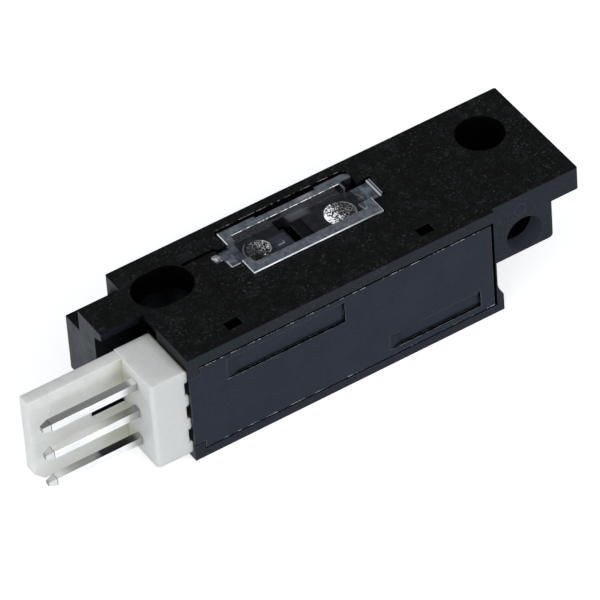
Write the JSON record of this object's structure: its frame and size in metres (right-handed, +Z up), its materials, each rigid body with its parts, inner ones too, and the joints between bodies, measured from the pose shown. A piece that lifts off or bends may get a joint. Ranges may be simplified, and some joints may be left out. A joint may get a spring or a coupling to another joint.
{
  "type": "reflective optical sensor",
  "caption": "Slim black reflective optical sensor with a clear lensed window on top, screw hole and slot, and a white pin header for a plug at one end.",
  "frame": {"origin": "under the middle of the whole part's bounding box, on the flat bottom of the housing", "axes": "+X along the housing, away from the plug header and towards the screw flange; +Y from the side cover to the plain back; +Z up, out of the lensed window"},
  "size_m": [0.0414, 0.0104, 0.0093],
  "materials": {
    "housing_plastic": "fine textured black moulding",
    "cover_plastic": "smooth satin black moulding",
    "window_clear": "clear moulding with polished lenses",
    "shield_plastic": "matt black",
    "board_laminate": "green solder mask",
    "header_nylon": "natural white satin",
    "pin_metal": "bright tin plate",
    "solder": "bright solder",
    "package_clear": "clear epoxy",
    "package_tinted": "smoke-tinted epoxy",
    "die": "polished semiconductor",
    "lead_metal": "tinned lead frame",
    "chip_black": "matt moulding compound",
    "resistor_ceramic": "glazed ceramic",
    "capacitor_ceramic": "bare ceramic"
  },
  "bodies": {
    "root": {"amplifier_chip": "chip_black", "amplifier_lead_1": "lead_metal", "amplifier_lead_2": "lead_metal", "amplifier_lead_3": "lead_metal", "amplifier_lead_4": "lead_metal", "amplifier_lead_5": "lead_metal", "amplifier_lead_6": "lead_metal", "amplifier_lead_7": "lead_metal", "amplifier_lead_8": "lead_metal", "chip_capacitor_1": "capacitor_ceramic", "chip_capacitor_2": "capacitor_ceramic", "chip_resistor_1": "resistor_ceramic", "chip_resistor_2": "resistor_ceramic", "chip_resistor_3": "resistor_ceramic", "chip_resistor_4": "resistor_ceramic", "chip_resistor_5": "resistor_ceramic", "circuit_board": "board_laminate", "emitter_die": "die", "emitter_lead_1": "lead_metal", "emitter_lead_2": "lead_metal", "emitter_package": "package_clear", "emitter_solder_1": "solder", "emitter_solder_2": "solder", "header_pin_1": "pin_metal", "header_pin_2": "pin_metal", "header_pin_3": "pin_metal", "header_solder_1": "solder", "header_solder_2": "solder", "header_solder_3": "solder", "housing": "housing_plastic", "lens_window": "window_clear", "light_shield": "shield_plastic", "output_transistor": "chip_black", "plug_header": "header_nylon", "receiver_die": "die", "receiver_lead_1": "lead_metal", "receiver_lead_2": "lead_metal", "receiver_lead_3": "lead_metal", "receiver_package": "package_tinted", "receiver_solder_1": "solder", "receiver_solder_2": "solder", "receiver_solder_3": "solder", "side_cover": "cover_plastic"}
  },
  "joints": []
}
